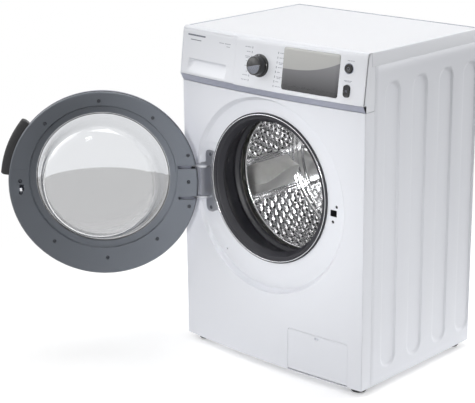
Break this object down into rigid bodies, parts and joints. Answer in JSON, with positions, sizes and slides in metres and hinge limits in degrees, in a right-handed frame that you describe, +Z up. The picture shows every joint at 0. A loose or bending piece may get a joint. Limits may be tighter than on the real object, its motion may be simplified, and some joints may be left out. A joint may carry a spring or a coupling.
{
  "type": "front load washing machine",
  "caption": "Free-standing front load washing machine with a bowed front, hinged porthole door, rubber gasket, steel drum, detergent drawer, program knob and display.",
  "frame": {"origin": "on the floor under the middle of the cabinet, halfway between the front corners and the rear cover", "axes": "+Z up, the front with the door faces -Y, +X to the right seen from the front"},
  "size_m": [0.8973, 0.836, 0.85],
  "materials": {
    "enamel": "smooth semi-gloss white enamel",
    "white_plastic": "semi-gloss moulded plastic",
    "silver_plastic": "satin silver-grey plastic",
    "grey_plastic": "satin blue-grey moulded plastic",
    "display_glass": "high-gloss dark window",
    "clear_glass": "polished clear",
    "black_plastic": "gloss black plastic",
    "rubber": "satin dark blue-grey rubber",
    "stainless": "bright stainless steel",
    "zinc_steel": "zinc-plated steel",
    "cast_iron": "rough casting",
    "tub_plastic": "matt filled plastic",
    "board": "circuit board laminate"
  },
  "bodies": {
    "cabinet": {"base_tray": "zinc_steel", "side_panel_left": "enamel", "side_panel_right": "enamel", "rear_panel": "enamel", "rear_service_cover": "enamel", "front_panel": "enamel", "worktop": "white_plastic", "control_fascia": "white_plastic", "fascia_trim_strip": "silver_plastic", "display_window": "display_glass", "control_board": "board", "drawer_housing": "white_plastic", "door_gasket": "rubber", "gasket_clamp_ring": "stainless", "hinge_bracket": "zinc_steel", "door_lock": "black_plastic", "tub_front": "tub_plastic", "tub_rear": "tub_plastic", "front_counterweight": "cast_iron", "top_counterweight": "cast_iron", "suspension_spring_left": "stainless", "suspension_spring_right": "stainless", "damper_tube_left": "black_plastic", "damper_rod_left": "stainless", "damper_tube_right": "black_plastic", "damper_rod_right": "stainless", "bearing_front": "stainless", "bearing_rear": "stainless", "drive_belt": "rubber", "motor_housing": "zinc_steel", "heating_element": "stainless", "inlet_valve": "white_plastic", "drain_pump": "grey_plastic", "mains_cable_gland": "black_plastic"},
    "door": {"door_outer_ring": "white_plastic", "door_outer_window": "clear_glass", "door_inner_ring": "grey_plastic", "door_glass_bowl": "clear_glass", "door_handle": "black_plastic", "door_hinge_pin": "stainless"},
    "latch": {"latch_hook": "zinc_steel"},
    "drum": {"drum_shell": "stainless", "drum_lifter_1": "grey_plastic", "drum_lifter_2": "grey_plastic", "drum_lifter_3": "grey_plastic", "drum_spider": "zinc_steel", "drum_pulley": "zinc_steel"},
    "motor_rotor": {"motor_pulley": "stainless"},
    "drawer": {"drawer_front": "white_plastic", "detergent_drawer": "white_plastic", "siphon_cap": "grey_plastic"},
    "knob": {"program_knob": "black_plastic"},
    "power_key": {"power_button": "black_plastic"},
    "start_key": {"start_button": "black_plastic"},
    "flap": {"filter_flap": "white_plastic"},
    "filter_plug": {"pump_filter_cap": "grey_plastic"},
    "front_left_foot": {"foot_front_left": "black_plastic"},
    "front_right_foot": {"foot_front_right": "black_plastic"},
    "rear_left_foot": {"foot_rear_left": "black_plastic"},
    "rear_right_foot": {"foot_rear_right": "black_plastic"}
  },
  "joints": [
    {"name": "door_swing", "type": "hinge", "parent": "cabinet", "child": "door", "pos_m": [-0.239, -0.2515, 0.457], "axis": [0, 0, 1], "range_deg": [0, 135.2]},
    {"name": "latch_hook_tilt", "type": "hinge", "parent": "door", "child": "latch", "pos_m": [-0.5428, -0.5729, 0.452], "axis": [-0.7096, -0.7046, 0], "range_deg": [0, 6], "stiffness_Nm_per_rad": 0.3},
    {"name": "drum_spin", "type": "hinge", "parent": "cabinet", "child": "drum", "pos_m": [-0.006, 0, 0.474], "axis": [0, 1, 0], "continuous": true},
    {"name": "motor_spin", "type": "hinge", "parent": "cabinet", "child": "motor_rotor", "pos_m": [-0.006, 0, 0.118], "axis": [0, 1, 0], "continuous": true},
    {"name": "drawer_slide", "type": "slide", "parent": "cabinet", "child": "drawer", "axis": [0, -1, 0], "range_m": [0, 0.24]},
    {"name": "program_knob_turn", "type": "hinge", "parent": "cabinet", "child": "knob", "pos_m": [-0.014, -0.24429, 0.786], "axis": [0, -0.9911, 0.1334], "continuous": true},
    {"name": "power_press", "type": "slide", "parent": "cabinet", "child": "power_key", "axis": [0, 0.9911, -0.1334], "range_m": [0, 0.002], "stiffness_N_per_m": 300},
    {"name": "start_press", "type": "slide", "parent": "cabinet", "child": "start_key", "axis": [0, 0.9911, -0.1334], "range_m": [0, 0.002], "stiffness_N_per_m": 300},
    {"name": "filter_flap_swing", "type": "hinge", "parent": "cabinet", "child": "flap", "pos_m": [0.164, -0.2325, 0.027], "axis": [0.9985, 0.0555, 0], "range_deg": [0, 90]},
    {"name": "filter_cap_turn", "type": "hinge", "parent": "cabinet", "child": "filter_plug", "pos_m": [0.164, -0.2, 0.078], "axis": [0, -1, 0], "range_deg": [0, 180]},
    {"name": "front_left_foot_height", "type": "slide", "parent": "cabinet", "child": "front_left_foot", "axis": [0, 0, -1], "range_m": [0, 0.01]},
    {"name": "front_right_foot_height", "type": "slide", "parent": "cabinet", "child": "front_right_foot", "axis": [0, 0, -1], "range_m": [0, 0.01]},
    {"name": "rear_left_foot_height", "type": "slide", "parent": "cabinet", "child": "rear_left_foot", "axis": [0, 0, -1], "range_m": [0, 0.01]},
    {"name": "rear_right_foot_height", "type": "slide", "parent": "cabinet", "child": "rear_right_foot", "axis": [0, 0, -1], "range_m": [0, 0.01]}
  ],
  "couplings": [
    {"joint": "motor_spin", "follows": "drum_spin", "ratio": 12.273}
  ]
}
